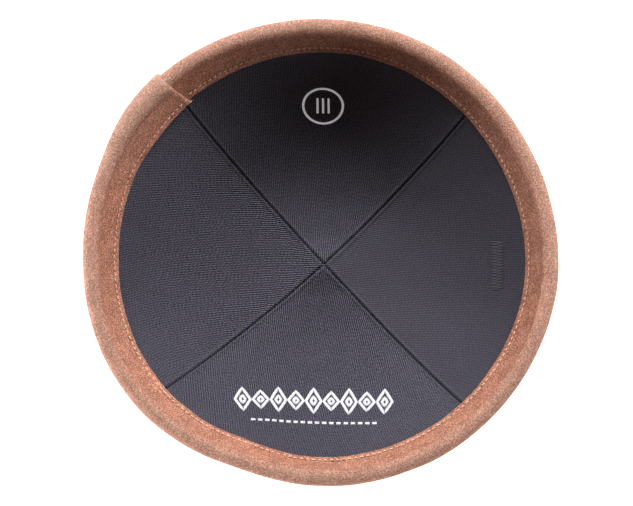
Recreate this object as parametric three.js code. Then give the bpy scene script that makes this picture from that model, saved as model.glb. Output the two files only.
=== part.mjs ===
// A kippah skullcap of four panels, lying on its crown with its opening up.
// Millimetres, +Z up. The origin is on the surface that the crown rests on, below the middle of the cap.
// +Y is the back panel, -Y the front panel, and the four seams run between them and the side panels.
// Four crown panels are the outside, four lining panels lie inside them, and one band of cloth is folded
// over the rim. Each is a wall of cloth with a small gap to its neighbours, as layers of cloth have.

import * as THREE from 'three';

const degrees = Math.PI / 180;

// Crown and wall: the outer surface, as a profile of radius and height
const tipDent = 2;            // how far the tip of the crown is pushed in
const dentRadius = 14;        // where the dent ends and the flat foot begins
const footRadius = 18;        // where the flat foot ends and the wall begins to curve up
const wallReach = 64.3;       // how much further out the curve would go at upright
const wallRise = 66;          // how high the curve would go at upright
const rimAngle = 72 * degrees; // the turn of the curve at the rim
const crownShift = { x: 1.8, y: -0.8 }; // how far the crown lies from below the middle of the rim

// The azimuths of the seams that each panel runs between
const panels = {
  right: [-43.6 * degrees, 46.8 * degrees],
  back: [46.8 * degrees, 135 * degrees],
  left: [135 * degrees, 224 * degrees],
  front: [224 * degrees, 316.4 * degrees],
};

// How square the cap is, from 0 for round to 1 for flat panels that meet at the seams
const squareAtFoot = 0.335;
const squareAtRim = 0.015;

// How the rim's outline differs from a circle, and the flaps from their mean length, as
// [waves round the rim, height, azimuth of a crest]
const rimWaves = [
  [2, 0.6, -14.5 * degrees],
  [3, 0.4, -20.7 * degrees],
  [4, 0.15, 45 * degrees],
  [5, 0.3, -2.2 * degrees],
];
const flapWaves = [
  [1, 0.5, 215 * degrees],
  [2, 0.8, 0],
  [4, 0.5, 45 * degrees],
];
const rimDent = { depth: 1, azimuth: 253 * degrees, halfWidth: 10 * degrees };

// Cloth
const crownThickness = 1.3;
const liningThickness = 1;
const bandThickness = 1;
const layerGap = 0.3;
const seamGap = 0.3;
const tipRadius = 0.5;        // where the panels' points end, just off the axis

// Band
const flapLength = 13.3;
const flapExtra = 0.2;        // how much longer the flaps are at the upper end
const beadSwell = 0.3;        // how far the fold over the rim stands out past the flaps
const outerFlapPinch = 0.05;  // the row of sewing below the fold draws the flap in a little
const upperEnd = { atFold: 135.8 * degrees, atFlapEdge: 132.7 * degrees };
const lowerEnd = (360 + 144) * degrees;
const liftEnds = [144.5 * degrees, 161 * degrees]; // where the upper end settles back on the wall

// Facets
const columnsPerPanel = 12;
const wallRows = 9;
const innerRadii = [tipRadius, 3.5, 7, 10.5, dentRadius, footRadius];
const foldFacets = 5;
const flapRows = [1, 0.67, 0.38, 0.17]; // rows of a flap, as shares of its length below the rim

const clothColours = { band: 0xc08c76, crown: 0xb9826a, lining: 0x3f3d47 };

const layers = {
  crown: [0, -crownThickness],
  lining: [-crownThickness - layerGap, -crownThickness - layerGap - liningThickness],
};
const stackThickness = crownThickness + layerGap + liningThickness;
const stackMiddle = -stackThickness / 2;

// The share of its full radius that the surface has at an azimuth, 1 at the seams.
function squareness(turn, azimuth) {
  const round = 2 * Math.PI;
  const start = panels.right[0];
  const place = start + THREE.MathUtils.euclideanModulo(azimuth - start, round);
  const [from, to] = Object.values(panels).find((seams) => place <= seams[1]);
  const flat = Math.cos((to - from) / 2) / Math.cos(place - (from + to) / 2);
  const share = squareAtRim + (squareAtFoot - squareAtRim) * Math.max(0, 1 - turn / rimAngle) ** 2;
  return THREE.MathUtils.lerp(1, flat, share);
}

const sumOfWaves = (list, azimuth) => list.reduce((sum, [waves, height, crest]) => (
  sum + height * Math.cos(waves * (azimuth - crest))
), 0);

function rimOutline(azimuth) {
  const fromDent = Math.atan2(Math.sin(azimuth - rimDent.azimuth), Math.cos(azimuth - rimDent.azimuth));
  return sumOfWaves(rimWaves, azimuth) - rimDent.depth * Math.exp(-((fromDent / rimDent.halfWidth) ** 2));
}

// The outer surface, at a turn of the wall's curve. Inside the foot, where there is no turn, a negative
// turn stands for the radius: -1 is the edge of the foot and -2 the axis.
function profile(turn, azimuth) {
  if (turn < 0) {
    const radius = footRadius * (2 + turn);
    const share = Math.min(1, radius / dentRadius);
    const height = (tipDent * (1 + Math.cos(Math.PI * share))) / 2;
    return new THREE.Vector2(radius * squareness(0, azimuth), height);
  }
  const round = footRadius + wallReach * Math.sin(turn);
  const fade = (Math.sin(turn) / Math.sin(rimAngle)) ** 2;
  const radius = round * squareness(turn, azimuth) + fade * rimOutline(azimuth);
  return new THREE.Vector2(radius, wallRise * (1 - Math.cos(turn)));
}

const turnOfRadius = (radius) => (radius === footRadius ? 0 : radius / footRadius - 2);

// The directions up along the wall and out from it, in the upright plane at an azimuth.
function directions(turn, azimuth) {
  const step = 0.001;
  const low = profile(turn < 0 ? turn : turn - (turn > step ? step : 0), azimuth);
  const high = profile(turn + step, azimuth);
  const up = turn === 0 ? new THREE.Vector2(1, 0) : high.sub(low).normalize();
  return { up, out: new THREE.Vector2(up.y, -up.x) };
}

// The shift fades with the turn of the wall, to nothing at the rim.
function inSpace(point, turn, azimuth) {
  const shift = 1 - Math.max(0, turn) / rimAngle;
  const x = point.x * Math.cos(azimuth) + crownShift.x * shift;
  const y = point.x * Math.sin(azimuth) + crownShift.y * shift;
  return new THREE.Vector3(x, y, point.y);
}

// A point that stands off the outer surface by a distance, negative inside.
function offSurface(turn, azimuth, distance) {
  const { out } = directions(turn, azimuth);
  return inSpace(profile(turn, azimuth).addScaledVector(out, distance), turn, azimuth);
}

// A closed wall between two sheets of points, which have the same rows and columns.
function wall(front, back) {
  const rows = front.length;
  const columns = front[0].length;
  const positions = [...front.flat(), ...back.flat()].flatMap((point) => point.toArray());
  const frontAt = (row, column) => row * columns + column;
  const backAt = (row, column) => rows * columns + frontAt(row, column);
  const index = [];
  const quad = (a, b, c, d) => index.push(a, b, c, a, c, d);
  for (let row = 0; row + 1 < rows; row++) {
    for (let column = 0; column + 1 < columns; column++) {
      const corners = [[row, column], [row, column + 1], [row + 1, column + 1], [row + 1, column]];
      quad(...corners.map((corner) => frontAt(...corner)));
      quad(...corners.reverse().map((corner) => backAt(...corner)));
    }
  }
  for (let row = 0; row + 1 < rows; row++) {
    for (const [column, from, to] of [[0, row, row + 1], [columns - 1, row + 1, row]]) {
      quad(frontAt(from, column), frontAt(to, column), backAt(to, column), backAt(from, column));
    }
  }
  for (let column = 0; column + 1 < columns; column++) {
    for (const [row, from, to] of [[0, column + 1, column], [rows - 1, column, column + 1]]) {
      quad(frontAt(row, from), frontAt(row, to), backAt(row, to), backAt(row, from));
    }
  }
  const geometry = new THREE.BufferGeometry();
  geometry.setAttribute('position', new THREE.Float32BufferAttribute(positions, 3));
  geometry.setIndex(index);
  geometry.computeVertexNormals();
  return geometry;
}

const acrossPanel = ([from, to], inset) => Array.from({ length: columnsPerPanel + 1 }, (_, column) => (
  THREE.MathUtils.lerp(from + inset, to - inset, column / columnsPerPanel)
));

// One gore, from the tip of the crown to the rim, between two distances off the outer surface.
function panel(seams, [outer, inner]) {
  const turns = innerRadii.map(turnOfRadius);
  for (let row = 1; row <= wallRows; row++) turns.push((rimAngle * row) / wallRows);
  const sheet = (distance) => turns.map((turn) => {
    const inset = Math.asin(seamGap / 2 / profile(turn, seams[0]).x);
    return acrossPanel(seams, inset).map((azimuth) => offSurface(turn, azimuth, distance));
  });
  return wall(sheet(outer), sheet(inner));
}

// How far the band's upper end lies off the lower end, as a share of one layer.
function lifted(sweep) {
  return 1 - THREE.MathUtils.smoothstep(sweep, ...liftEnds);
}

// One cut across the band, as the stations of its path from the outer flap's edge over the fold to the
// inner flap's edge. The distance is from the middle of the stack of cloth that the band encloses.
function bandStations(sweep, distance) {
  const lift = lifted(sweep) * (bandThickness + layerGap);
  const flap = flapLength + sumOfWaves(flapWaves, sweep) + flapExtra * lifted(sweep);
  const flapStation = (share, side) => {
    const pinch = share < 0.5 && share > 0.2 && side > 0 ? outerFlapPinch : 0;
    const swell = share < 0.2 ? beadSwell / 2 : 0;
    const off = stackMiddle + side * (distance + lift + swell - pinch);
    return (azimuth) => offSurface(rimAngle - (flap * share) / wallRise, azimuth, off);
  };
  const foldStation = (angle) => (azimuth) => {
    const { up, out } = directions(rimAngle, azimuth);
    const reach = distance + lift + beadSwell;
    const point = profile(rimAngle, azimuth).addScaledVector(out, stackMiddle + reach * Math.cos(angle));
    return inSpace(point.addScaledVector(up, reach * Math.sin(angle)), rimAngle, azimuth);
  };
  const outerFlap = flapRows.map((share) => flapStation(share, 1));
  const fold = Array.from({ length: foldFacets + 1 }, (_, facet) => foldStation((Math.PI * facet) / foldFacets));
  const innerFlap = flapRows.toReversed().map((share) => flapStation(share, -1));
  return [...outerFlap, ...fold, ...innerFlap];
}

function band() {
  const oneLap = Object.values(panels).flatMap((seams) => acrossPanel(seams, 0).slice(1));
  const nextLap = oneLap.map((azimuth) => azimuth + 2 * Math.PI);
  const apart = 3 * degrees;
  const between = [...oneLap, ...nextLap].filter((azimuth) => (
    azimuth > upperEnd.atFold + apart && azimuth < lowerEnd - apart
  ));
  const sweeps = [upperEnd.atFold, ...between, lowerEnd];
  const sheet = (distance) => {
    const columns = sweeps.map((sweep, column) => {
      const stations = bandStations(sweep, distance);
      return stations.map((station, row) => {
        const fromFold = Math.abs((2 * row) / (stations.length - 1) - 1);
        const slant = column === 0 ? (upperEnd.atFlapEdge - upperEnd.atFold) * fromFold : 0;
        return station(sweep + slant);
      });
    });
    return columns[0].map((_, row) => columns.map((column) => column[row]));
  };
  const clear = stackThickness / 2 + layerGap;
  return wall(sheet(clear + bandThickness), sheet(clear));
}

function piece(name, geometry, colour) {
  const material = new THREE.MeshStandardMaterial({ color: colour, roughness: 0.95, metalness: 0 });
  const mesh = new THREE.Mesh(geometry, material);
  mesh.name = name;
  return mesh;
}

const cap = new THREE.Group();
for (const [side, seams] of Object.entries(panels)) {
  for (const [cloth, distances] of Object.entries(layers)) {
    cap.add(piece(`${cloth}_panel_${side}`, panel(seams, distances), clothColours[cloth]));
  }
}
cap.add(piece('rim_band', band(), clothColours.band));

const bounds = new THREE.Box3().setFromObject(cap);
const middle = bounds.getCenter(new THREE.Vector3());
cap.position.set(-middle.x, -middle.y, -bounds.min.z);

export default cap;
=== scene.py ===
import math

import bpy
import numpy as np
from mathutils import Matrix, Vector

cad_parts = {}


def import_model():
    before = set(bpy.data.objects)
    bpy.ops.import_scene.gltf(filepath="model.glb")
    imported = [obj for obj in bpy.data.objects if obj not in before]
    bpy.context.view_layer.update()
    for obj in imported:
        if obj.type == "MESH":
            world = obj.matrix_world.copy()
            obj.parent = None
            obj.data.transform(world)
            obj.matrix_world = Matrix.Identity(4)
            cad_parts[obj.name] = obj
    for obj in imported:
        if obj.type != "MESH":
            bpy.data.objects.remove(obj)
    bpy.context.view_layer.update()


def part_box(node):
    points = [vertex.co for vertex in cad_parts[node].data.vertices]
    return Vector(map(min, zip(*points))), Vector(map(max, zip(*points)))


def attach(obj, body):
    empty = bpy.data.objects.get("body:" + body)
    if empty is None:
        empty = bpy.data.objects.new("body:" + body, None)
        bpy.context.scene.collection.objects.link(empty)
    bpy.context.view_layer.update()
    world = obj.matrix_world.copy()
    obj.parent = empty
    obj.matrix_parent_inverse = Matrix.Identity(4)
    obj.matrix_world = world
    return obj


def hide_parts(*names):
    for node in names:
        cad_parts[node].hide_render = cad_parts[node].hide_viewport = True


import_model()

# The looks of a kippah skullcap that lies on its crown, with its inside up.
#
# Shapes are worked out in millimetres and turned into metres when a mesh is made. A place on the cap is
# given by its run, the distance from the tip of the crown along the outer surface, and its azimuth.

MM = 0.001
TAU = 2 * math.pi
BODY = "root"

# ---- The cap's shape, as in the CAD model -----------------------------------------------------------

TIP_DENT = 2.0
DENT_RADIUS = 14.0
FOOT_RADIUS = 18.0
WALL_REACH = 64.3
WALL_RISE = 66.0
RIM_ANGLE = math.radians(72)
RIM_RUN = FOOT_RADIUS + WALL_RISE * RIM_ANGLE
RIM_RADIUS = 80.0             # the rim's mean, for lengths round the band
CROWN_SHIFT = (1.8, -0.8)
SEAMS = np.radians([-43.6, 46.8, 135, 224, 316.4])
PANELS = {"right": 0, "back": 1, "left": 2, "front": 3}  # the seam that each panel starts at
SQUARE_AT_FOOT = 0.335
SQUARE_AT_RIM = 0.015
# How the rim and the flaps differ from a circle and a straight strip: waves round, height, azimuth of a crest
RIM_WAVES = ((2, 0.6, -14.5), (3, 0.4, -20.7), (4, 0.15, 45), (5, 0.3, -2.2))
FLAP_WAVES = ((1, 0.5, 215), (2, 0.8, 0), (4, 0.5, 45))
RIM_DENT = (1.0, math.radians(253), math.radians(10))  # depth, azimuth, half-width

CROWN_THICKNESS = 1.3
LINING_THICKNESS = 1.0
BAND_THICKNESS = 1.0
LAYER_GAP = 0.3
STACK = CROWN_THICKNESS + LAYER_GAP + LINING_THICKNESS
LINING_OUTSIDE = -CROWN_THICKNESS - LAYER_GAP
LINING_INSIDE = -STACK
FLAP_LENGTH = 13.3
FLAP_EXTRA = 0.2
BEAD_SWELL = 0.3
UPPER_END = np.radians([135.8, 135.2, 132.7])  # on the fold, at the bead's foot and at the flap's edge
LOWER_END = math.radians(360 + 144)
LIFT_ENDS = np.radians([144.5, 161])  # where the upper end settles back on the wall

# ---- Finer shape, which the CAD model leaves out ----------------------------------------------------

SEAM_INSET = 0.03             # half the gap between two panels
SEAM_ROLL = 0.75              # how far a panel's edge rolls into the seam
SEAM_ROLL_WIDTH = 0.25
SEAM_LIP = (0.3, 0.95, 0.5)   # how far the cloth stands up beside that, how far off the seam, half-width
SEAM_STITCH = 2.2             # from one stitch to the next
SEAM_THREAD = 0.32
TOPSTITCH = 2.3               # from one stitch to the next
TOPSTITCH_LENGTH = 0.6        # of that, as a share
TOPSTITCH_FROM_EDGE = 2.8
TOPSTITCH_SUNK = 0.24         # how deep the thread pulls into the cloth
RIB = 0.0007                  # metres from one rib of the twill to the next
YARN_FLOAT = 0.0015           # metres from one float of a rib's yarn to the next
THREAD = 0.42                 # the topstitch thread's diameter
SEWN_VALLEY = (1.4, 1.3, 0.2)  # below the fold: how far, half-width and depth
BEAD_FOOT = 3.0               # how far below the fold its unevenness ends
ROUNDED_EDGE = 0.55           # how far in from a flap's edge the cloth thins
ROUNDED_END = 0.35            # and from the band's cut ends
FOOT_HEIGHT = 0.02            # the pressed foot's height over the floor
FAR_FROM_SEAM = 20.0          # where nothing is left of a seam's roll
BEAD_SWELL_END = 2.6          # how far below the fold its swell ends
SEWN_GROOVE = (0.26, 0.12, 0.6)  # under the topstitching: depth between stitches, more at one, half-width
EDGE_SWELL = (0.15, 1.2, 0.8)  # beside a flap's edge: height, how far in and half-width
TIP_GAP = 0.12                # how far from the tip the panels' cloth starts
PANEL_ROWS = 132
LINING_COLUMNS = 120
CROWN_COLUMNS = 110
EDGE_PULL = 2.0               # how much closer together the columns are at the seams
FIBRE_HALF_WIDTH = (0.07, 0.1)
FIBRE_ROOT = 0.04             # how deep a fibre starts in the cloth
STROKED_BACK = 0.3            # the share of fibres that lean the other way
INK_FACE = 0.07               # how far the ink's face stands off the lining
INK_BACK = 0.05               # and how far its back is sunk in it
PAINTED_HIGHLIGHT_HEIGHTS = (0.0462, 0.0492)  # metres, heights where the painted highlight on top of the band's fold begins and is full


def smoothstep(value, low, high):
    share = np.clip((value - low) / (high - low), 0, 1)
    return share * share * (3 - 2 * share)


def waves(table, azimuth):
    return sum(height * np.cos(count * (azimuth - math.radians(crest))) for count, height, crest in table)


def rim_outline(azimuth):
    depth, middle, half_width = RIM_DENT
    from_dent = np.arctan2(np.sin(azimuth - middle), np.cos(azimuth - middle))
    return waves(RIM_WAVES, azimuth) - depth * np.exp(-((from_dent / half_width) ** 2))


def turn_at(run):
    return np.maximum(0, run - FOOT_RADIUS) / WALL_RISE


def squareness(turn, azimuth):
    """The share of its full radius that the cap has at an azimuth, 1 at the seams."""
    place = SEAMS[0] + np.mod(azimuth - SEAMS[0], TAU)
    panel = np.clip(np.searchsorted(SEAMS, place) - 1, 0, 3)
    start, end = SEAMS[panel], SEAMS[panel + 1]
    flat = np.cos((end - start) / 2) / np.cos(place - (start + end) / 2)
    share = SQUARE_AT_RIM + (SQUARE_AT_FOOT - SQUARE_AT_RIM) * np.maximum(0, 1 - turn / RIM_ANGLE) ** 2
    return 1 + share * (flat - 1)


def profile(run, azimuth):
    """The radius and height of the crown's outer surface."""
    turn = turn_at(run)
    foot = np.minimum(run, FOOT_RADIUS)
    fade = (np.sin(turn) / math.sin(RIM_ANGLE)) ** 2
    radius = (foot + WALL_REACH * np.sin(turn)) * squareness(turn, azimuth) + fade * rim_outline(azimuth)
    dent = TIP_DENT / 2 * (1 + np.cos(np.pi * np.minimum(1, foot / DENT_RADIUS)))
    return radius, dent + WALL_RISE * (1 - np.cos(turn))


def directions(run, azimuth):
    """The upright plane's unit vectors along the wall and out from it, each as (radius, height)."""
    step = 0.01
    low, high = profile(run - step, azimuth), profile(run + step, azimuth)
    radius, height = high[0] - low[0], high[1] - low[1]
    length = np.hypot(radius, height)
    return (radius / length, height / length), (height / length, -radius / length)


def in_space(radius, height, run, azimuth):
    shift = 1 - turn_at(run) / RIM_ANGLE
    x = radius * np.cos(azimuth) + CROWN_SHIFT[0] * shift
    y = radius * np.sin(azimuth) + CROWN_SHIFT[1] * shift
    return np.stack(np.broadcast_arrays(x, y, height), -1)


def off_wall(run, azimuth, off):
    """Points that stand off the crown's outer surface, at a negative distance inside."""
    run, azimuth, off = np.broadcast_arrays(run, azimuth, off)
    _, out = directions(run, azimuth)
    radius, height = profile(run, azimuth)
    return in_space(radius + off * out[0], height + off * out[1], run, azimuth)


def ripples(points, seed, shortest, longest, count=9):
    """A smooth unevenness between about -1 and 1, from plane waves at seeded angles."""
    draw = np.random.default_rng(seed)
    total = np.zeros(points.shape[:-1])
    for _ in range(count):
        heading = draw.normal(size=3)
        heading *= TAU / draw.uniform(shortest, longest) / np.linalg.norm(heading)
        total += np.sin(points @ heading + draw.uniform(0, TAU))
    return total / math.sqrt(count)


# ---- Meshes -----------------------------------------------------------------------------------------


def new_piece(name, points, faces, material, uv=None, smooth=True):
    """A mesh object from points in millimetres, riding on the cap."""
    mesh = bpy.data.meshes.new(name)
    mesh.from_pydata((np.asarray(points) * MM + centring()).tolist(), [], [list(face) for face in faces])
    if uv is not None:
        corners = np.zeros(len(mesh.loops), np.int32)
        mesh.loops.foreach_get("vertex_index", corners)
        layer = mesh.uv_layers.new(name="cloth")
        layer.data.foreach_set("uv", (np.asarray(uv)[corners] * MM).ravel())
    mesh.polygons.foreach_set("use_smooth", [smooth] * len(mesh.polygons))
    mesh.materials.append(material)
    mesh.update()
    piece = bpy.data.objects.new(name, mesh)
    bpy.context.scene.collection.objects.link(piece)
    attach(piece, BODY)
    return piece


def centring():
    """What moves the shape's own middle to the middle of the CAD model's rim, in metres."""
    if not hasattr(centring, "shift"):
        low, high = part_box("rim_band")
        sweep = np.linspace(0, TAU, 1441)
        rim = band_fold(sweep, np.array([0.0]), BAND_THICKNESS)[0]
        own = (rim.min(0) + rim.max(0)) / 2 * MM
        middle = (low + high) / 2
        centring.shift = np.array([middle.x - own[0], middle.y - own[1], 0])
    return centring.shift


def grid_faces(rows, columns):
    row, column = np.mgrid[0 : rows - 1, 0 : columns - 1]
    corner = (row * columns + column).ravel()
    return np.stack([corner, corner + 1, corner + columns + 1, corner + columns], -1)


def shell(front, back):
    """Points and faces of a closed wall between two sheets of points with the same rows and columns."""
    rows, columns = front.shape[:2]
    size = rows * columns
    faces = [grid_faces(rows, columns), grid_faces(rows, columns)[:, ::-1] + size]
    index = np.arange(size).reshape(rows, columns)
    border = np.concatenate([index[0, :-1], index[:-1, -1], index[-1, :0:-1], index[:0:-1, 0]])
    after = np.roll(border, -1)
    faces.append(np.stack([after, border, border + size, after + size], -1))
    points = np.concatenate([front.reshape(-1, 3), back.reshape(-1, 3)])
    faces = np.concatenate(faces)
    a, b, c, d = (points[faces[:, i]] for i in range(4))
    volume = np.einsum("ij,ij->i", a, np.cross(b, c) + np.cross(c, d)).sum()
    return points, faces if volume > 0 else faces[:, ::-1]


def tubes(paths, outs, radii, sides=6):
    """Points and faces of closed tubes, one to each path. outs point away from the cloth."""
    count, rings = paths.shape[:2]
    along = np.gradient(paths, axis=1)
    along /= np.linalg.norm(along, axis=-1, keepdims=True)
    across = np.cross(along, outs)
    across /= np.linalg.norm(across, axis=-1, keepdims=True)
    up = np.cross(across, along)
    angle = np.arange(sides) * TAU / sides
    circle = across[:, :, None] * np.cos(angle)[:, None] + up[:, :, None] * np.sin(angle)[:, None]
    points = paths[:, :, None] + circle * radii[:, None, None]
    ring, side = np.mgrid[0 : rings - 1, 0:sides]
    a = (ring * sides + side).ravel()
    b = (ring * sides + (side + 1) % sides).ravel()
    quads = np.stack([a, b, b + sides, a + sides], -1)
    last = (rings - 1) * sides
    caps = np.array([np.arange(sides)[::-1], last + np.arange(sides)])
    starts = (np.arange(count) * rings * sides)[:, None, None]
    quads = (quads + starts).reshape(-1, 4).tolist()
    caps = (caps + starts).reshape(-1, sides).tolist()
    return points.reshape(-1, 3), quads + caps


# ---- Panels -----------------------------------------------------------------------------------------


def panel_places(side, columns):
    """Runs, azimuths and distances to the nearer seam over one panel, closer together at the seams."""
    first = PANELS[side]
    start, end = SEAMS[first], SEAMS[first + 1]
    share = 0.5 + 0.5 * np.tanh(EDGE_PULL * np.linspace(-1, 1, columns)) / math.tanh(EDGE_PULL)
    run = np.linspace(TIP_GAP, RIM_RUN, PANEL_ROWS)[:, None] + np.zeros(columns)
    radius = profile(run[:, :1], np.array([[start]]))[0]
    inset = np.arcsin(np.minimum(1, SEAM_INSET / radius))
    azimuth = (start + inset) + (end - start - 2 * inset) * share
    to_seam = profile(run, azimuth)[0] * np.minimum(azimuth - start, end - azimuth)
    return run, azimuth, to_seam


def rolled_edge(to_seam, run, depth, pucker):
    """How far a panel's face sinks beside a seam, with a small pucker at every stitch."""
    lip, lip_at, lip_width = SEAM_LIP
    roll = depth * np.exp(-((to_seam / SEAM_ROLL_WIDTH) ** 1.6))
    roll = roll - lip * np.exp(-(((to_seam - lip_at) / lip_width) ** 2))
    stitch = 0.5 + 0.5 * np.cos(TAU * run / SEAM_STITCH)
    return roll * (0.86 + 0.14 * stitch) + pucker * (stitch - 0.5) * np.exp(-to_seam / 1.6)


def cloth_places(run, azimuth, side, turned):
    """Flat coordinates of a panel's cloth, with the grain turned from the panel's middle line."""
    first = PANELS[side]
    middle = (SEAMS[first] + SEAMS[first + 1]) / 2
    heading = azimuth - middle - math.radians(turned)
    return np.stack([run * np.sin(heading), run * np.cos(heading)], -1)


def lining_off(run, azimuth, to_seam):
    """The visible face of the lining, as a distance off the crown's outer surface."""
    places = off_wall(run, azimuth, LINING_INSIDE)
    bow = 0.16 * ripples(places, 3, 22, 60) + 0.05 * ripples(places, 5, 7, 15)
    return LINING_INSIDE + rolled_edge(to_seam, run, SEAM_ROLL, 0.05) - bow


def lining_panel(side, turned, material):
    run, azimuth, to_seam = panel_places(side, LINING_COLUMNS)
    front = off_wall(run, azimuth, lining_off(run, azimuth, to_seam))
    back = off_wall(run, azimuth, LINING_OUTSIDE)
    points, faces = shell(front, back)
    places = cloth_places(run, azimuth, side, turned).reshape(-1, 2)
    piece = new_piece(f"lining_{side}", points, faces, material, np.tile(places, (2, 1)))
    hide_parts(f"lining_panel_{side}")


def crown_panel(side, material):
    run, azimuth, to_seam = panel_places(side, CROWN_COLUMNS)
    places = off_wall(run, azimuth, 0)
    bow = 0.12 * (ripples(places, 11, 20, 50) - 1.2) * smoothstep(run, FOOT_RADIUS, FOOT_RADIUS + 20)
    sunk = rolled_edge(to_seam, run, 0.8, 0.06)
    front = off_wall(run, azimuth, bow - sunk)
    front[..., 2] = np.maximum(front[..., 2], FOOT_HEIGHT)  # what the cap lies on presses its foot flat
    back = off_wall(run, azimuth, -CROWN_THICKNESS)
    points, faces = shell(front, back)
    places = cloth_places(run, azimuth, side, 0).reshape(-1, 2)
    piece = new_piece(f"crown_{side}", points, faces, material, np.tile(places, (2, 1)))
    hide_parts(f"crown_panel_{side}")


# ---- Band -------------------------------------------------------------------------------------------


def lifted(sweep):
    """How far the band's upper end lies off the lower end, as a share of one layer."""
    return 1 - smoothstep(sweep, *LIFT_ENDS)


def flap_length(sweep):
    return FLAP_LENGTH + waves(FLAP_WAVES, sweep) + FLAP_EXTRA * lifted(sweep)


def band_fold(sweep, angle, thickness):
    """Points on the fold over the rim, at angles from its outer side, in rows by angle."""
    sweep, angle = np.broadcast_arrays(sweep[None], angle[:, None])
    reach = STACK / 2 + LAYER_GAP + thickness + BEAD_SWELL + lifted(sweep) * (BAND_THICKNESS + LAYER_GAP)
    reach = reach + bead_unevenness(sweep, angle)
    up, out = directions(np.full_like(sweep, RIM_RUN), sweep)
    radius, height = profile(np.full_like(sweep, RIM_RUN), sweep)
    off = reach * np.cos(angle) - STACK / 2
    radius = radius + off * out[0] + reach * np.sin(angle) * up[0]
    height = height + off * out[1] + reach * np.sin(angle) * up[1]
    return in_space(radius, height, np.full_like(sweep, RIM_RUN), sweep)


def bead_unevenness(sweep, angle):
    around = np.stack([RIM_RADIUS * np.cos(sweep), RIM_RADIUS * np.sin(sweep), 3 * angle], -1)
    return 0.1 * ripples(around, 21, 9, 30) - 0.1


def band_flap(sweep, share, side, thickness):
    """Points on a flap, at shares of its length below the rim. side is 1 outside and -1 inside."""
    sweep, share = np.broadcast_arrays(sweep[None], share[:, None])
    down = flap_length(sweep) * share
    swell = BEAD_SWELL * (1 - smoothstep(down, 0, BEAD_SWELL_END))
    valley_at, valley_width, valley_depth = SEWN_VALLEY
    valley = valley_depth * (1 if side < 0 else 0.5) * np.exp(-(((down - valley_at) / valley_width) ** 2))
    from_edge = flap_length(sweep) - down
    stitch = 0.5 + 0.5 * np.cos(sweep * RIM_RADIUS * TAU / TOPSTITCH)
    groove_depth, groove_more, groove_width = SEWN_GROOVE
    sewn = groove_depth + groove_more * stitch
    sewn = sewn * np.exp(-(((from_edge - TOPSTITCH_FROM_EDGE) / groove_width) ** 2))
    edge_height, edge_in, edge_width = EDGE_SWELL
    edge = edge_height * np.exp(-(((from_edge - edge_in) / edge_width) ** 2))
    around = np.stack([RIM_RADIUS * np.cos(sweep), RIM_RADIUS * np.sin(sweep), down], -1)
    uneven = bead_unevenness(sweep, np.zeros_like(sweep) if side > 0 else np.full_like(sweep, math.pi))
    on_flap = smoothstep(down, 0, BEAD_FOOT)
    uneven = uneven * (1 - on_flap) + 0.09 * ripples(around, 23, 6, 18) * on_flap
    face = swell - valley - sewn + edge + uneven if thickness > 0 else 0
    reach = STACK / 2 + LAYER_GAP + thickness + lifted(sweep) * (BAND_THICKNESS + LAYER_GAP) + face
    return off_wall(RIM_RUN - down, sweep, side * reach - STACK / 2)


def band(material):
    columns, fold_rows, flap_rows = 620, 17, 26
    along = np.linspace(0, 1, columns)
    # Rows stand closer together at the flaps' edges, and stop just short of the fold
    nearest_fold = 0.02
    shares = 1 - (1 - nearest_fold) * (1 - np.cos(np.linspace(0, np.pi / 2, flap_rows)))
    fold_angles = np.linspace(0, np.pi, fold_rows)
    rows = 2 * flap_rows + fold_rows
    from_fold = np.abs(np.linspace(-1, 1, rows))[:, None]
    starts = np.interp(from_fold, (0, fold_rows / rows, 1), UPPER_END)
    sweeps = starts + (LOWER_END - starts) * along
    front, back = (
        np.stack([band_row(row, sweeps[row], thickness, fold_angles, shares) for row in range(rows)])
        for thickness in (BAND_THICKNESS, 0.0)
    )
    # Both cut ends and both flap edges are rounded
    down = np.concatenate([shares, np.zeros(fold_rows), shares[::-1]])[:, None] * FLAP_LENGTH
    from_end = np.minimum(along, 1 - along) * RIM_RADIUS * (LOWER_END - UPPER_END[0])
    full = rounding((FLAP_LENGTH - down) / ROUNDED_EDGE, 0.06) * rounding(from_end / ROUNDED_END, 0.1)
    middle = (front + back) / 2
    front, back = middle + (front - middle) * full[..., None], middle + (back - middle) * full[..., None]
    points, faces = shell(front, back)
    around = sweeps * RIM_RADIUS
    typical_column = 60
    steps = np.linalg.norm(np.diff(front[:, typical_column], axis=0), axis=-1)
    across = np.concatenate([[0], np.cumsum(steps)])
    places = np.stack([around, np.broadcast_to(across[:, None], around.shape)], -1).reshape(-1, 2)
    piece = new_piece("binding", points, faces, material, np.tile(places, (2, 1)))
    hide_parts("rim_band")
    return front


def rounding(share, least):
    """The share of its thickness that the cloth keeps at a share of the way in from an edge."""
    return np.sqrt(1 - (1 - np.clip(share, least, 1)) ** 2)


def band_row(row, sweep, thickness, fold_angles, shares):
    flap_rows = len(shares)
    if row < flap_rows:
        return band_flap(sweep, shares[row : row + 1], 1, thickness)[0]
    row -= flap_rows
    if row < len(fold_angles):
        return band_fold(sweep, fold_angles[row : row + 1], thickness)[0]
    row -= len(fold_angles)
    return band_flap(sweep, shares[::-1][row : row + 1], -1, thickness)[0]


# ---- Nap --------------------------------------------------------------------------------------------


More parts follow.
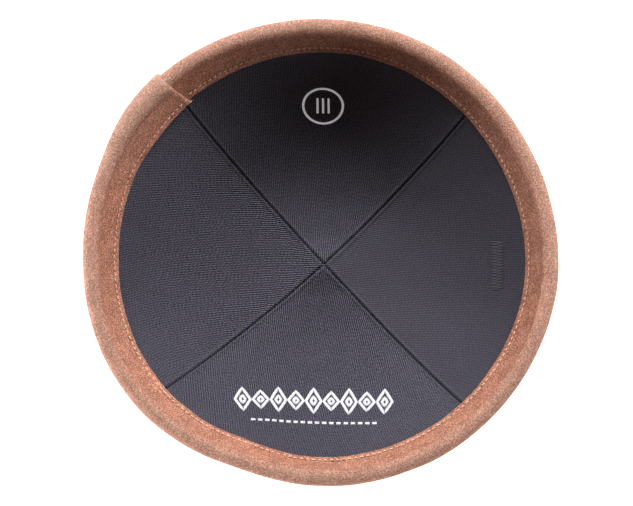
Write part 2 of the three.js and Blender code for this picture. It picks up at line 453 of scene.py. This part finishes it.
def nap(name, sheet, count, seed, material, slot, length=(0.45, 0.8), lean=(0.25, 0.7), spread=0.7):
    """Short tapering fibres strewn over a sheet of points, leaning along its rows' direction."""
    draw = np.random.default_rng(seed)
    a, b, c, d = sheet[:-1, :-1], sheet[:-1, 1:], sheet[1:, 1:], sheet[1:, :-1]
    normal = np.cross(c - a, b - d).reshape(-1, 3)
    area = np.linalg.norm(normal, axis=-1)
    cell = draw.choice(len(area), count, p=area / area.sum())
    normal = normal[cell] / area[cell, None]
    u, v = draw.random((2, count, 1))
    a, b, c, d = (corner.reshape(-1, 3)[cell] for corner in (a, b, c, d))
    root = (a * (1 - u) + b * u) * (1 - v) + (d * (1 - u) + c * u) * v
    down = (d - a + c - b) / np.linalg.norm(d - a + c - b, axis=-1, keepdims=True)
    side = np.cross(normal, down)
    heading = draw.normal(0, spread, (count, 1)) + np.pi * (draw.random((count, 1)) < STROKED_BACK)
    lift = draw.uniform(*lean, (count, 1))
    way = (down * np.cos(heading) + side * np.sin(heading)) * np.cos(lift) + normal * np.sin(lift)
    width = np.cross(way, normal)
    width *= draw.uniform(*FIBRE_HALF_WIDTH, (count, 1)) / np.linalg.norm(width, axis=-1, keepdims=True)
    root = root - normal * FIBRE_ROOT
    tip = root + way * draw.uniform(*length, (count, 1))
    points = np.stack([root - width, root + width, tip], 1).reshape(-1, 3)
    new_piece(name, points, np.arange(3 * count).reshape(-1, 3), material, smooth=False)


# ---- Threads ----------------------------------------------------------------------------------------


def stitch_row(name, place, starts, length, thread, sink, material):
    """Stitches on a row. place(position, lift) gives points for positions along the row."""
    share = np.linspace(0, 1, 7)
    position = starts[:, None] + share * length
    arch = np.sin(np.pi * share) ** 0.6
    lift = (arch - sink) * thread
    paths = place(position, np.broadcast_to(lift, position.shape))
    outs = place(position, np.broadcast_to(lift, position.shape) + 1) - paths
    outs /= np.linalg.norm(outs, axis=-1, keepdims=True)
    radii = thread / 2 * (0.55 + 0.45 * np.sin(np.pi * share) ** 0.5)
    points, faces = tubes(paths, outs, radii)
    new_piece(name, points, faces, material)


def topstitches(side, material):
    """The row of sewing near a flap's edge. side is 1 outside and -1 inside."""
    step = TOPSTITCH / RIM_RADIUS
    starts = np.arange(UPPER_END[1] - 0.02, LOWER_END - 0.2, step)

    def place(sweep, lift):
        down = flap_length(sweep) - TOPSTITCH_FROM_EDGE
        reach = STACK / 2 + LAYER_GAP + BAND_THICKNESS - TOPSTITCH_SUNK
        reach = reach + lifted(sweep) * (BAND_THICKNESS + LAYER_GAP)
        return off_wall(RIM_RUN - down, sweep, side * (reach + lift) - STACK / 2)

    name = "band_topstitch_outside" if side > 0 else "band_topstitch_inside"
    stitch_row(name, place, starts, step * TOPSTITCH_LENGTH, THREAD, 0.05, material)


def seam_stitches(material):
    """Dark thread at the bottom of the lining's seams."""
    starts = np.arange(0.6, RIM_RUN - FLAP_LENGTH + 4, SEAM_STITCH)
    for number, seam in enumerate(SEAMS[:4]):

        def place(run, lift, seam=seam):
            return off_wall(run, seam + 0 * run, LINING_INSIDE + SEAM_ROLL * 0.8 - lift)

        name = f"lining_seam_stitches_{number + 1}"
        length = SEAM_STITCH * 0.8
        stitch_row(name, place, starts, length, SEAM_THREAD, 0.35, material)


# ---- Prints -----------------------------------------------------------------------------------------


def printed(name, strokes, middle_run, middle_azimuth, turned, material):
    """A thin film of ink on the lining. Each stroke is a closed or open line of (x, y) and a width."""
    points, faces = [], []
    angle = math.radians(turned)

    def on_cloth(flat, lift, widen):
        x = (flat[..., 0] * math.cos(angle) - flat[..., 1] * math.sin(angle)) * widen
        y = flat[..., 0] * math.sin(angle) + flat[..., 1] * math.cos(angle)
        run = np.hypot(middle_run - y, x)
        azimuth = middle_azimuth + np.arctan2(x, middle_run - y)
        off = lining_off(run, azimuth, np.full_like(run, FAR_FROM_SEAM))
        return off_wall(run, azimuth, off - lift)

    # The curved cloth is narrower round the tip than a flat disc is, so widths are made up for that
    millimetre = on_cloth(np.array([[-0.5, 0.0], [0.5, 0.0]]), 0, 1)
    widen = 1 / np.linalg.norm(millimetre[1] - millimetre[0])
    for line, width in strokes:
        line = np.asarray(line, float)
        along = np.gradient(line, axis=0)
        if np.allclose(line[0], line[-1]):
            along[0] = along[-1] = line[1] - line[-2]
        along /= np.linalg.norm(along, axis=-1, keepdims=True)
        across = np.stack([-along[:, 1], along[:, 0]], -1) * width / 2
        flat = np.stack([line + across, line - across])
        sheet_points, sheet_faces = shell(on_cloth(flat, INK_FACE, widen), on_cloth(flat, -INK_BACK, widen))
        faces.append(sheet_faces + sum(len(p) for p in points))
        points.append(sheet_points)
    new_piece(name, np.concatenate(points), np.concatenate(faces), material)


def straight(start, end, steps=12):
    share = np.linspace(0, 1, steps)[:, None]
    return np.array(start) * (1 - share) + np.array(end) * share


def ring(radius, steps=97):
    angle = np.linspace(0, TAU, steps)
    return radius * np.stack([np.cos(angle), np.sin(angle)], -1)


def size_mark(material):
    """A ring round three tally strokes."""
    radius, ring_width, reach, tally_width = 7.15, 0.88, 3.1, 0.8
    strokes = [(ring(radius), ring_width)]
    strokes += [(straight((x, -reach), (x, reach)), tally_width) for x in (-2, 0, 2)]
    middle_run, middle_azimuth, turned = 63.4, math.radians(92.4), 0
    printed("size_ring_and_tally", strokes, middle_run, middle_azimuth, turned, material)


def ornament(material):
    """A chain of lozenges, each round a smaller one, over a line of dashes."""
    strokes = []
    pitch, count, half_width = 6.28, 9, 2.7
    for number in range(count):
        middle = (number - (count - 1) / 2) * pitch
        high = 5.6 if number % 2 == 0 else 4.2
        for size, width in ((1.0, 1.1), (0.36, 1.0)):
            corners = [(0, high), (half_width, 0), (0, -high), (-half_width, 0), (0, high)]
            corners = [(middle + x * size, y * size) for x, y in corners]
            sides = [straight(start, end, 5)[:-1] for start, end in zip(corners, corners[1:])]
            strokes.append((np.concatenate(sides + [[corners[0]]]), width))
    pitch, count, reach, below, dash_width = 2.58, 18, 0.83, 10.4, 1.2
    for number in range(count):
        middle = (number - (count - 1) / 2) * pitch
        strokes.append((straight((middle - reach, below), (middle + reach, below), 4), dash_width))
    middle_run, middle_azimuth, turned = 57, math.radians(269.6), 183.8
    printed("printed_ornament", strokes, middle_run, middle_azimuth, turned, material)


def bar_tack(material):
    """A narrow zigzag of sewing in the lining's own colour."""
    turns, length, width, sink, thread_radius = 17, 19.5, 5.6, 0.2, 0.15
    middle_run, middle_azimuth = 72, math.radians(0.5)
    steps = np.arange(turns * 12 + 1)
    along = (steps / steps[-1] - 0.5) * length
    across = (np.abs(np.mod(steps / 6, 2) - 1) - 0.5) * width
    run = np.hypot(middle_run - across, along)
    azimuth = middle_azimuth + np.arctan2(-along, middle_run - across)
    off = lining_off(run, azimuth, np.full_like(run, FAR_FROM_SEAM)) - sink
    path = off_wall(run, azimuth, off)[None]
    outs = off_wall(run, azimuth, off - 1)[None] - path
    points, faces = tubes(path, outs, np.full(len(steps), thread_radius))
    new_piece("bar_tack", points, faces, material)


# ---- Materials --------------------------------------------------------------------------------------


class Nodes:
    """Short ways of adding shader nodes to one material."""

    def __init__(self, name):
        self.material = bpy.data.materials.new(name)
        self.material.use_nodes = True
        self.tree = self.material.node_tree
        self.shader = self.tree.nodes["Principled BSDF"]

    def add(self, kind, inputs=(), **settings):
        node = self.tree.nodes.new(f"ShaderNode{kind}")
        for key, value in settings.items():
            setattr(node, key, value)
        for key, value in dict(inputs).items():
            self.join(value, node.inputs[key])
        return node

    def join(self, value, socket):
        if isinstance(value, bpy.types.NodeSocket):
            self.tree.links.new(value, socket)
        else:
            socket.default_value = value

    def math(self, operation, a, b=0.0):
        return self.add("Math", {0: a, 1: b}, operation=operation).outputs[0]

    def mix(self, share, a, b, blend="MIX"):
        node = self.add("Mix", data_type="RGBA", blend_type=blend)
        for value, place in ((share, 0), (a, 6), (b, 7)):
            self.join(value, node.inputs[place])
        return node.outputs[2]

    def noise(self, vector, scale, detail=2.0, roughness=0.5):
        inputs = {"Vector": vector, "Scale": scale, "Detail": detail, "Roughness": roughness}
        return self.add("TexNoise", inputs).outputs["Fac"]

    def ramp(self, value, low, high, to_low=0.0, to_high=1.0):
        inputs = {0: value, 1: low, 2: high, 3: to_low, 4: to_high}
        return self.add("MapRange", inputs).outputs[0]

    def wave(self, turns):
        """From 0 at every whole turn to 1 halfway between."""
        cosine = self.math("COSINE", self.math("MULTIPLY", turns, TAU))
        return self.ramp(cosine, 1, -1)

    def bump(self, height, distance, strength):
        return self.add("Bump", {"Height": height, "Distance": distance, "Strength": strength}).outputs[0]

    def set(self, **values):
        """Set the shader's inputs, named with underscores for spaces."""
        for key, value in values.items():
            self.join(value, self.shader.inputs[key.replace("_", " ")])


def colour(red, green, blue):
    return (red, green, blue, 1.0)


def lining_cloth(name, contrast):
    """Charcoal satin twill: ribs a little under a millimetre apart, broken into short floats of yarn."""
    n = Nodes(name)
    places = n.add("UVMap", uv_map="cloth").outputs[0]
    split = n.add("SeparateXYZ", {0: places})
    across, along = split.outputs[0], split.outputs[1]
    wander = n.noise(places, 650, 2)
    rib_turns = n.math("ADD", n.math("MULTIPLY", across, 1 / RIB), wander)
    rib = n.wave(rib_turns)
    each_rib = n.add("TexWhiteNoise", {"W": n.math("FLOOR", rib_turns)}, noise_dimensions="1D").outputs[0]
    float_turns = n.math("ADD", n.math("MULTIPLY", along, 1 / YARN_FLOAT), each_rib)
    broken = n.wave(n.math("ADD", float_turns, n.math("MULTIPLY", wander, 1.2)))
    yarns = n.add("CombineXYZ", {0: n.math("MULTIPLY", across, 1900), 1: n.math("MULTIPLY", along, 700)})
    fine = n.noise(yarns.outputs[0], 1, 2, 0.7)
    height = n.math("MULTIPLY", rib, n.ramp(broken, 0, 1, 0.55, 1))
    height = n.ramp(n.math("ADD", height, n.math("MULTIPLY", fine, 0.6)), 0.35, 1.25)
    unmoved = 0.26  # the height that stays the same whatever the contrast
    # A lower contrast is painted shade: fainter ribs and, as most of the cloth stands above that height, a
    # darker panel
    height = n.ramp(height, 0, 1, unmoved * (1 - contrast), unmoved + (1 - unmoved) * contrast)
    cloud = n.noise(places, 45, 3)
    tone = n.math("ADD", n.math("MULTIPLY", height, 0.92), n.math("MULTIPLY", cloud, 0.08))
    n.set(Base_Color=n.mix(tone, colour(0.006, 0.006, 0.008), colour(0.205, 0.196, 0.262)))
    n.set(Roughness=n.ramp(height, 0, 1, 0.72, 0.52))
    n.set(Specular_IOR_Level=0.3, Sheen_Weight=0.1, Sheen_Roughness=0.45)
    n.set(Normal=n.bump(height, 0.0003, 0.9))
    return n.material


def painted_highlight_paler(n, base):
    """Painted highlight: the cloth is painted paler and less saturated on top of the fold over the rim, where
    the light falls on it.
    """
    height = n.add("SeparateXYZ", {0: n.add("TexCoord").outputs["Object"]}).outputs[2]
    paler = n.mix(0.45, n.mix(1.0, base, colour(0.86, 1.04, 1.15), "MULTIPLY"), colour(0.455, 0.28, 0.22))
    return n.mix(n.ramp(height, *PAINTED_HIGHLIGHT_HEIGHTS), base, paler)


def brushed_cloth(name, tint=1.0):
    """Tan cloth with a short raised nap, mottled at about half a millimetre."""
    n = Nodes(name)
    places = n.add("UVMap", uv_map="cloth").outputs[0]
    nap_noise = n.noise(places, 2400, 2, 0.6)
    tuft = n.add("TexVoronoi", {"Vector": places, "Scale": 2100.0, "Randomness": 1.0}).outputs["Distance"]
    cloud = n.noise(places, 160, 3)
    patch = n.noise(places, 32, 2)
    tone = n.math("ADD", n.math("MULTIPLY", nap_noise, 0.62), n.math("MULTIPLY", tuft, 0.3))
    tone = n.ramp(n.math("ADD", tone, n.math("MULTIPLY", cloud, 0.16)), 0.46, 0.68)
    dark = colour(0.20 * tint, 0.073 * tint, 0.041 * tint)
    light = colour(0.81 * tint, 0.41 * tint, 0.29 * tint)
    base = n.mix(tone, dark, light)
    warm = n.mix(n.ramp(patch, 0.35, 0.65), colour(1.0, 0.97, 0.95), colour(0.97, 1.0, 1.0))
    # The band's cloth gets a painted highlight on top of the fold
    n.set(Base_Color=painted_highlight_paler(n, n.mix(1.0, base, warm, "MULTIPLY")))
    n.set(Roughness=n.ramp(nap_noise, 0.2, 0.8, 0.85, 0.65))
    n.set(Specular_IOR_Level=0.2, Sheen_Weight=0.15, Sheen_Roughness=0.5)
    n.set(Sheen_Tint=colour(1.0, 0.88, 0.82))
    relief = n.math("ADD", nap_noise, n.math("MULTIPLY", tuft, 0.5))
    n.set(Normal=n.bump(relief, 0.0004, 0.7))
    return n.material


def fibre(name, tint=1.0):
    """The nap's loose fibres, each a little lighter or darker than the next."""
    n = Nodes(name)
    places = n.add("TexCoord").outputs["Object"]
    each = n.noise(places, 1400, 1, 0.5)
    dark = colour(0.60 * tint, 0.31 * tint, 0.21 * tint)
    light = colour(1.0 * tint, 0.68 * tint, 0.53 * tint)
    # The fibres get the same painted highlight on top of the fold
    n.set(Base_Color=painted_highlight_paler(n, n.mix(n.ramp(each, 0.4, 0.6), dark, light)))
    n.set(Roughness=n.ramp(each, 0, 1, 0.9, 0.7))
    n.set(Specular_IOR_Level=0.3)
    return n.material


def thread(name, dark, light):
    """Twisted sewing thread."""
    n = Nodes(name)
    places = n.add("TexCoord").outputs["Object"]
    twist = n.noise(places, 2600, 2, 0.7)
    n.set(Base_Color=n.mix(twist, colour(*dark), colour(*light)), Roughness=n.ramp(twist, 0, 1, 0.75, 0.55))
    n.set(Specular_IOR_Level=0.3, Normal=n.bump(twist, 0.0001, 0.6))
    return n.material


def ink(name, shade, painted_glow):
    """Screen-printed ink, thinner in places, which can be given a glow: painted light that keeps a mark as
    bright in shade as in full light.
    """
    n = Nodes(name)
    places = n.add("TexCoord").outputs["Object"]
    grain = n.noise(places, 1500, 2, 0.6)
    thin = colour(*(0.72 * value for value in shade))
    n.set(Base_Color=n.mix(n.ramp(grain, 0.3, 0.6), thin, colour(*shade)))
    n.set(Roughness=n.ramp(grain, 0, 1, 0.75, 0.6))
    n.set(Specular_IOR_Level=0.3, Normal=n.bump(grain, 0.0001, 0.5))
    # Painted light: the ink glows, though it is no lamp
    n.set(Emission_Color=colour(0.95, 0.95, 1.0), Emission_Strength=painted_glow)
    return n.material


# ---- Stage ------------------------------------------------------------------------------------------

CAMERA_AZIMUTH = 3
CAMERA_ELEVATION = 84
CAMERA_DISTANCE = 560
FRAME_WIDTH = 214.4           # how much the picture's width takes in at the rim
AIM_RIGHT = -2.1              # how far the camera aims off the middle of the rim
AIM_UP = -2.13
SENSOR = 36
LIGHT_DISTANCE = 1.2          # metres
FLOOR_HALF = 3.0              # metres
WHITE = (1.0, 1.0, 1.0)
WARM = (1.0, 0.78, 0.62)
LIGHTS = (                    # name, azimuth, elevation, size in metres, watts, colour
    ("key_right", 148, 40, (0.45, 0.4), 13.4, WHITE),
    ("key_left", 212, 40, (0.45, 0.4), 12.7, WHITE),
    ("right_low", 84, 12, (0.55, 0.55), 7.4, WHITE),
    ("front_card", 315, 1, (0.8, 0.07), 18, WHITE),
    ("overhead", 330, 55, (0.6, 0.6), 1.0, WARM),
    ("left_low", 270, 12, (0.55, 0.55), 4, WHITE),
)


def sky_direction(azimuth, elevation):
    a, e = math.radians(azimuth), math.radians(elevation)
    return Vector((math.sin(a) * math.cos(e), -math.cos(a) * math.cos(e), math.sin(e)))


def aimed(thing, at, back, distance):
    thing.rotation_mode = "QUATERNION"
    thing.location = at + back * distance
    thing.rotation_quaternion = (-back).to_track_quat("-Z", "Y")


def camera():
    data = bpy.data.cameras.new("camera")
    data.sensor_width = SENSOR
    data.lens = SENSOR * CAMERA_DISTANCE / FRAME_WIDTH
    data.clip_start = 0.01
    thing = bpy.data.objects.new("camera", data)
    bpy.context.scene.collection.objects.link(thing)
    back = sky_direction(CAMERA_AZIMUTH, CAMERA_ELEVATION)
    turn = math.radians(CAMERA_AZIMUTH)
    right = Vector((math.cos(turn), math.sin(turn), 0))
    up = back.cross(right)
    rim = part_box("rim_band")[1].z - (STACK / 2 + LAYER_GAP + BAND_THICKNESS + BEAD_SWELL) * MM
    aim = Vector((0, 0, rim)) + (right * AIM_RIGHT + up * AIM_UP) * MM
    aimed(thing, aim, back, CAMERA_DISTANCE * MM)
    bpy.context.scene.camera = thing


def soft_light(name, azimuth, elevation, size, power, tint):
    data = bpy.data.lights.new(name, "AREA")
    data.shape = "RECTANGLE"
    data.size, data.size_y = size
    data.energy = power
    data.color = tint
    thing = bpy.data.objects.new(name, data)
    bpy.context.scene.collection.objects.link(thing)
    aimed(thing, Vector((0, 0, 0.03)), sky_direction(azimuth, elevation), LIGHT_DISTANCE)


def floor():
    n = Nodes("pale_floor")
    grain = n.noise(n.add("TexCoord").outputs["Object"], 40, 2)
    n.set(Base_Color=n.mix(grain, colour(0.86, 0.86, 0.86), colour(0.9, 0.9, 0.9)), Roughness=0.9)
    n.set(Specular_IOR_Level=0.1, Emission_Color=colour(1, 1, 1), Emission_Strength=0.8)
    mesh = bpy.data.meshes.new("floor")
    corners = [(x * FLOOR_HALF, y * FLOOR_HALF, 0) for x, y in ((-1, -1), (1, -1), (1, 1), (-1, 1))]
    mesh.from_pydata(corners, [], [(0, 1, 2, 3)])
    mesh.materials.append(n.material)
    thing = bpy.data.objects.new("floor", mesh)
    bpy.context.scene.collection.objects.link(thing)


def world(strength):
    made = bpy.data.worlds.new("studio")
    made.use_nodes = True
    back = made.node_tree.nodes["Background"]
    back.inputs[0].default_value = colour(1, 1, 1)
    back.inputs[1].default_value = strength
    bpy.context.scene.world = made


# ---- Making it --------------------------------------------------------------------------------------

band_cloth = brushed_cloth("brushed_band")
crown_cloth = brushed_cloth("brushed_crown", 0.93)
loose_fibre = fibre("loose_fibre")
pale_fibre = fibre("pale_fibre", 1.2)
tan_thread = thread("tan_thread", (0.75, 0.46, 0.33), (1.0, 0.80, 0.66))
grey_thread = thread("grey_thread", (0.07, 0.067, 0.082), (0.27, 0.257, 0.30))
dark_thread = thread("dark_thread", (0.012, 0.012, 0.015), (0.04, 0.038, 0.045))
white_ink = ink("white_ink", (0.78, 0.78, 0.83), 0.0)
# The size ring's ink glows: painted light, so the ring stays bright in shade
grey_ink = ink("grey_ink", (0.8, 0.8, 0.84), 0.28)

# How far each lining panel's grain is turned, and how strongly the light brings out its ribs, painted into
# each panel's copy of the cloth: a lower contrast is painted shade, with fainter ribs and a darker panel
linings = {"back": (6, 0.8), "left": (3, 1.0), "front": (-5, 1.0), "right": (-4, 0.5)}
for panel, (grain_turned, contrast) in linings.items():
    lining_panel(panel, grain_turned, lining_cloth(f"charcoal_twill_{panel}", contrast))
    crown_panel(panel, crown_cloth)
cloth_face = band(band_cloth)
nap("binding_nap", cloth_face, 90000, 41, loose_fibre, "band_cloth")
# Pale fibres fray from both flap edges and, pointing all ways, from the cut end that lies on top
inner_edge, outer_edge = cloth_face[-5:], cloth_face[4::-1, ::-1]
fringe = {"length": (0.5, 0.9), "lean": (0.05, 0.45), "spread": 0.5}
nap("binding_fringe_inside", inner_edge, 16000, 43, pale_fibre, "band_cloth", **fringe)
nap("binding_fringe_outside", outer_edge, 12000, 43, pale_fibre, "band_cloth", **fringe)
fringe = {"length": (0.4, 0.7), "lean": (0.1, 0.6), "spread": 2.0}
nap("binding_end_fringe", cloth_face[:, :3], 700, 47, pale_fibre, "band_cloth", **fringe)
topstitches(1, tan_thread)
topstitches(-1, tan_thread)
seam_stitches(dark_thread)
size_mark(grey_ink)
ornament(white_ink)
bar_tack(grey_thread)

floor()
camera()
for light in LIGHTS:
    soft_light(*light)
world(0.012)
view = bpy.context.scene.view_settings
view.view_transform = "Standard"
view.look = "None"
view.gamma = 0.87
